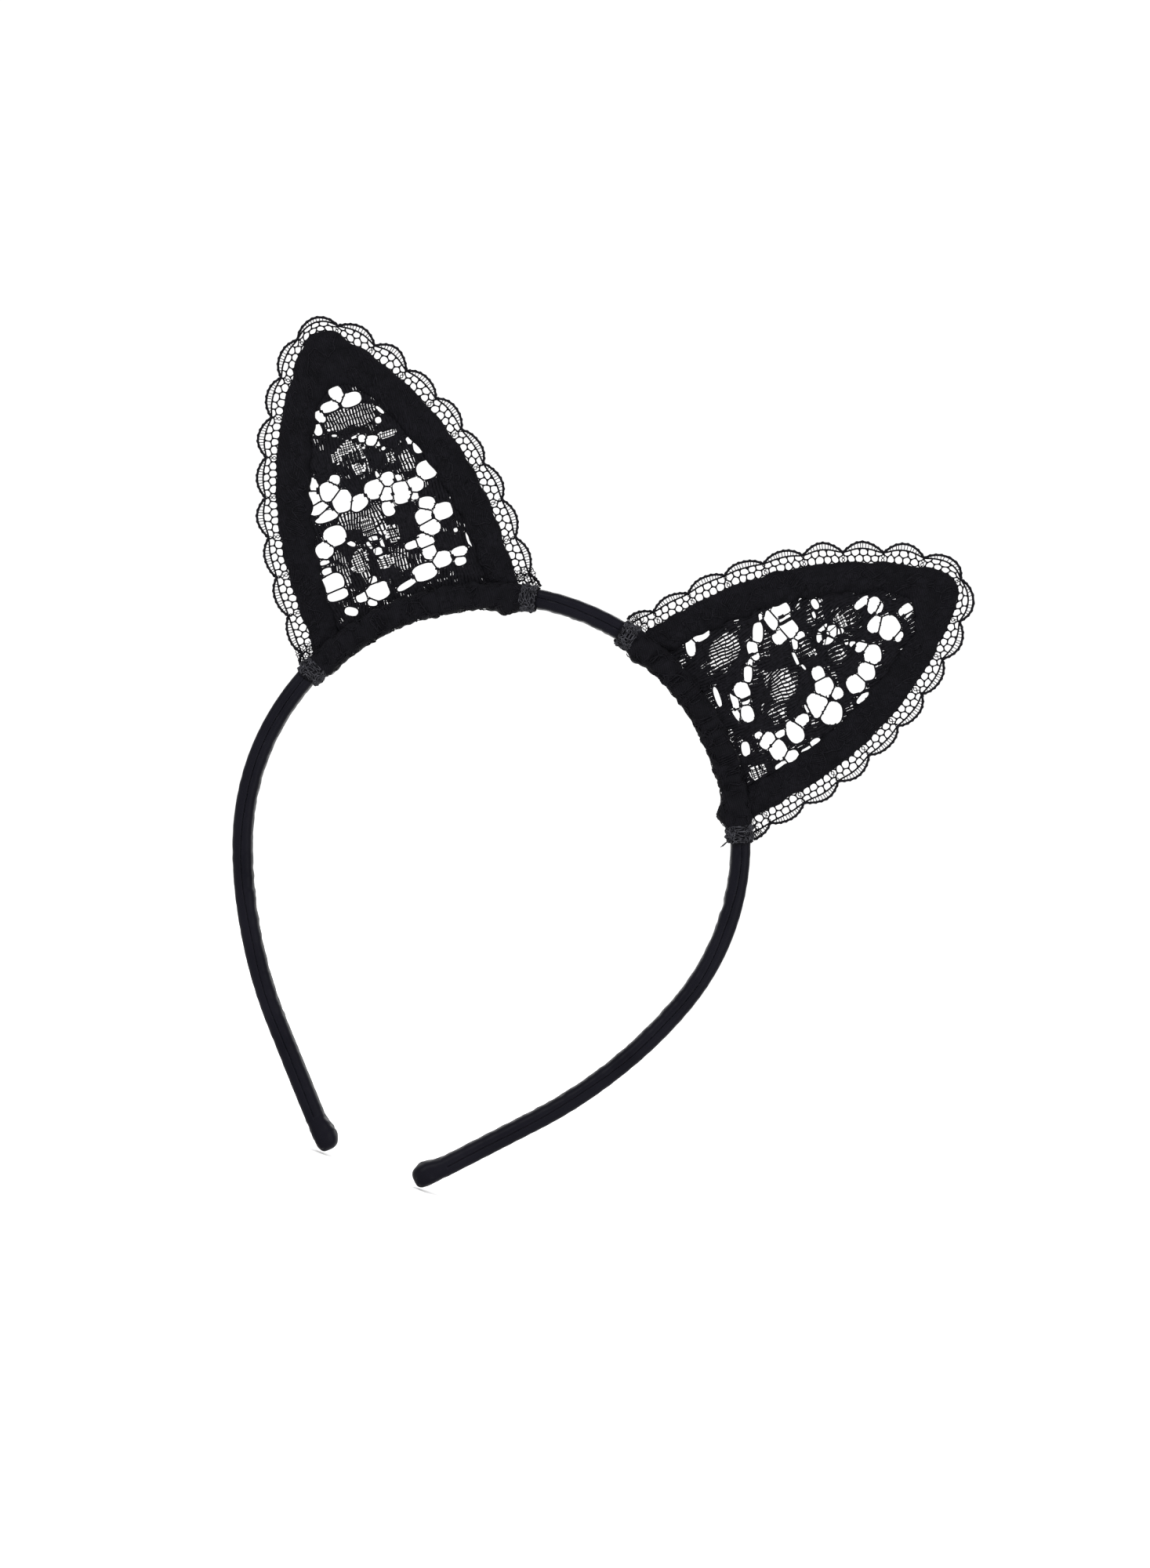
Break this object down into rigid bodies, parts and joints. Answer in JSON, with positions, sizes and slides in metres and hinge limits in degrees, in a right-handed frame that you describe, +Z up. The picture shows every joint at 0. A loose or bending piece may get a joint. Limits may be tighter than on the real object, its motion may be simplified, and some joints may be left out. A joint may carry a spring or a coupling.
{
  "type": "animal ears headband",
  "caption": "Satin-covered springy headband with a pair of pointed cat ears, each a black border round a lace window with scalloped net edging.",
  "frame": {"origin": "middle of the band's inner face at the crown, where the band rests on the head", "axes": "+Z up as worn, +X to the right seen from the front, -Y towards the front"},
  "size_m": [0.18, 0.0104, 0.1917],
  "materials": {
    "satin": "satin ribbon with soft sheen",
    "core_plastic": "matt moulded",
    "wire_steel": "drawn wire",
    "felt": "felted",
    "border_lace": "matt lace over cloth",
    "lace_net": "cotton lace thread",
    "tie_mesh": "bunched net",
    "thread": "polyester sewing thread"
  },
  "bodies": {
    "root": {"band_core": "core_plastic", "band_outer_satin": "satin", "band_inner_satin": "satin", "left_tip_fold": "satin", "right_tip_fold": "satin", "left_ear_wire": "wire_steel", "left_ear_front_pad": "felt", "left_ear_back_pad": "felt", "left_ear_binding": "border_lace", "left_ear_lace_panel": "lace_net", "left_ear_trim": "lace_net", "left_ear_base_wrap": "border_lace", "left_ear_inner_tie": "tie_mesh", "left_ear_outer_tie": "tie_mesh", "left_ear_stitches": "thread", "right_ear_wire": "wire_steel", "right_ear_front_pad": "felt", "right_ear_back_pad": "felt", "right_ear_binding": "border_lace", "right_ear_lace_panel": "lace_net", "right_ear_trim": "lace_net", "right_ear_base_wrap": "border_lace", "right_ear_inner_tie": "tie_mesh", "right_ear_outer_tie": "tie_mesh", "right_ear_stitches": "thread"}
  },
  "joints": []
}
